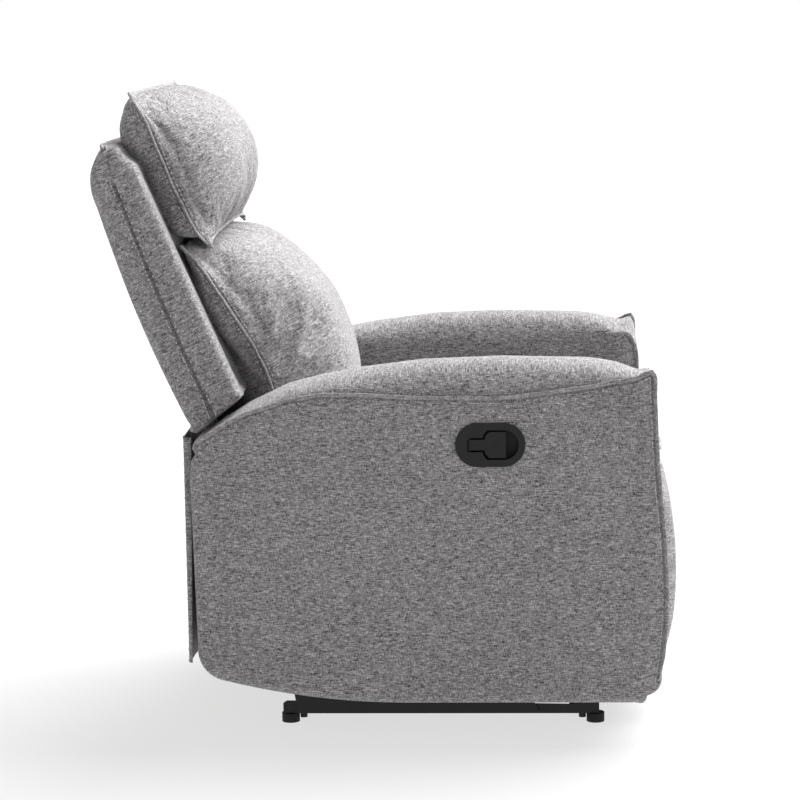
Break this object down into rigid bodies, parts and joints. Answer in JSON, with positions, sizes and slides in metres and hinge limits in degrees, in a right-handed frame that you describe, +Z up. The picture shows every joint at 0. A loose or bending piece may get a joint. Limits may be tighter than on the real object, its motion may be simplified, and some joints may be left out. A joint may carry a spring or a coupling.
{
  "type": "recliner armchair",
  "caption": "Upholstered manual recliner armchair with padded arms, reclining back, headrest pillow, rising footrest and a recessed release handle in the right arm.",
  "frame": {"origin": "on the floor, under the middle of the chair's outline", "axes": "+Z up, the chair faces -Y, the sitter's right hand and the release handle are at -X"},
  "size_m": [0.7906, 0.9513, 1.0616],
  "materials": {
    "upholstery": "woven, heathered",
    "timber": "sawn",
    "black_steel": "satin",
    "fasteners": "satin",
    "spring_steel": "satin",
    "handle_plastic": "moulded, fine texture",
    "glide_plastic": "matte",
    "webbing": "elastic webbing"
  },
  "bodies": {
    "base": {"base_rail_right": "black_steel", "base_rail_left": "black_steel", "base_cross_tubes": "black_steel", "foot_glides": "glide_plastic", "foot_bolts": "fasteners", "base_plate_right": "black_steel", "base_plate_left": "black_steel", "base_pivot_pins": "fasteners", "arm_bolts": "fasteners", "arm_frame_right": "timber", "arm_frame_left": "timber", "arm_outer_panel_right": "upholstery", "arm_outer_panel_left": "upholstery", "arm_inner_panel_right": "upholstery", "arm_inner_panel_left": "upholstery", "arm_top_pad_right": "upholstery", "arm_top_pad_left": "upholstery", "arm_front_pad_right": "upholstery", "arm_front_pad_left": "upholstery", "rear_stretcher": "timber", "handle_bezel": "handle_plastic", "handle_pin": "fasteners"},
    "handle": {"handle_lever": "handle_plastic"},
    "seat": {"seat_side_rail_right": "black_steel", "seat_side_rail_left": "black_steel", "seat_plate_right": "black_steel", "seat_plate_left": "black_steel", "seat_pivot_pins": "fasteners", "seat_front_rail": "timber", "seat_rear_rail": "black_steel", "seat_springs": "spring_steel", "seat_cushion": "upholstery", "drive_springs": "spring_steel"},
    "backrest": {"back_post_right": "black_steel", "back_post_left": "black_steel", "back_wing_right": "upholstery", "back_wing_left": "upholstery", "back_cross_rails": "timber", "back_webbing": "webbing", "back_outer_panel": "upholstery", "back_cushion": "upholstery", "headrest_pillow": "upholstery"},
    "flap": {"rear_flap": "upholstery"},
    "front_lift": {"front_lift_link_right": "black_steel", "front_lift_link_left": "black_steel"},
    "rear_lift": {"rear_lift_link_right": "black_steel", "rear_lift_link_left": "black_steel"},
    "drive": {"drive_link_right": "black_steel", "drive_link_left": "black_steel", "torque_tube": "black_steel"},
    "reach": {"reach_link_right": "black_steel", "reach_link_left": "black_steel"},
    "guide": {"guide_link_right": "black_steel", "guide_link_left": "black_steel"},
    "toggle": {"toggle_link_right": "black_steel", "toggle_link_left": "black_steel"},
    "footrest": {"footrest_brackets": "black_steel", "footrest_board": "timber", "footrest_pad": "upholstery"}
  },
  "joints": [
    {"name": "back_recline", "type": "hinge", "parent": "seat", "child": "backrest", "pos_m": [0, 0.215, 0.316], "axis": [-1, 0, 0], "range_deg": [0, 36]},
    {"name": "seat_slide", "type": "slide", "parent": "base", "child": "seat", "axis": [0, -1, 0], "range_m": [0, 0.0455]},
    {"name": "flap_hang", "type": "hinge", "parent": "backrest", "child": "flap", "pos_m": [0, 0.335, 0.5], "axis": [-1, 0, 0], "range_deg": [-36.5, 0]},
    {"name": "front_lift_swing", "type": "hinge", "parent": "base", "child": "front_lift", "pos_m": [0, -0.2, 0.11], "axis": [1, 0, 0], "range_deg": [0, 17.6]},
    {"name": "rear_lift_swing", "type": "hinge", "parent": "base", "child": "rear_lift", "pos_m": [0, 0.12, 0.11], "axis": [1, 0, 0], "range_deg": [0, 17.6]},
    {"name": "footrest_open", "type": "hinge", "parent": "seat", "child": "drive", "pos_m": [0, -0.25, 0.33], "axis": [-1, 0, 0], "range_deg": [0, 83.35], "deforming": ["drive_springs"]},
    {"name": "reach_pivot", "type": "hinge", "parent": "drive", "child": "reach", "pos_m": [0, -0.22133, 0.10683], "axis": [-1, 0, 0], "range_deg": [-94.3, 0]},
    {"name": "guide_pivot", "type": "hinge", "parent": "seat", "child": "guide", "pos_m": [0, -0.302, 0.331], "axis": [-1, 0, 0], "range_deg": [0, 86.2]},
    {"name": "toggle_pivot", "type": "hinge", "parent": "drive", "child": "toggle", "pos_m": [0, -0.22607, 0.14373], "axis": [-1, 0, 0], "range_deg": [-94.9, 0]},
    {"name": "footrest_pivot", "type": "hinge", "parent": "reach", "child": "footrest", "pos_m": [0, -0.39495, 0.24995], "axis": [-1, 0, 0], "range_deg": [0, 101]},
    {"name": "handle_pull", "type": "hinge", "parent": "base", "child": "handle", "pos_m": [-0.3895, -0.127, 0.496], "axis": [0, 0, -1], "range_deg": [0, 28], "stiffness_Nm_per_rad": 0.4, "springref_deg": -6.88}
  ],
  "couplings": [
    {"joint": "seat_slide", "follows": "back_recline", "m_per_rad": 0.07162},
    {"joint": "flap_hang", "follows": "back_recline", "ratio": -1},
    {"joint": "front_lift_swing", "follows": "back_recline", "ratio": 0.47917},
    {"joint": "rear_lift_swing", "follows": "back_recline", "ratio": 0.47917},
    {"joint": "reach_pivot", "follows": "footrest_open", "ratio": -1.1251},
    {"joint": "guide_pivot", "follows": "footrest_open", "ratio": 1.0274},
    {"joint": "toggle_pivot", "follows": "footrest_open", "ratio": -1.1324},
    {"joint": "footrest_pivot", "follows": "footrest_open", "ratio": 1.2049}
  ]
}
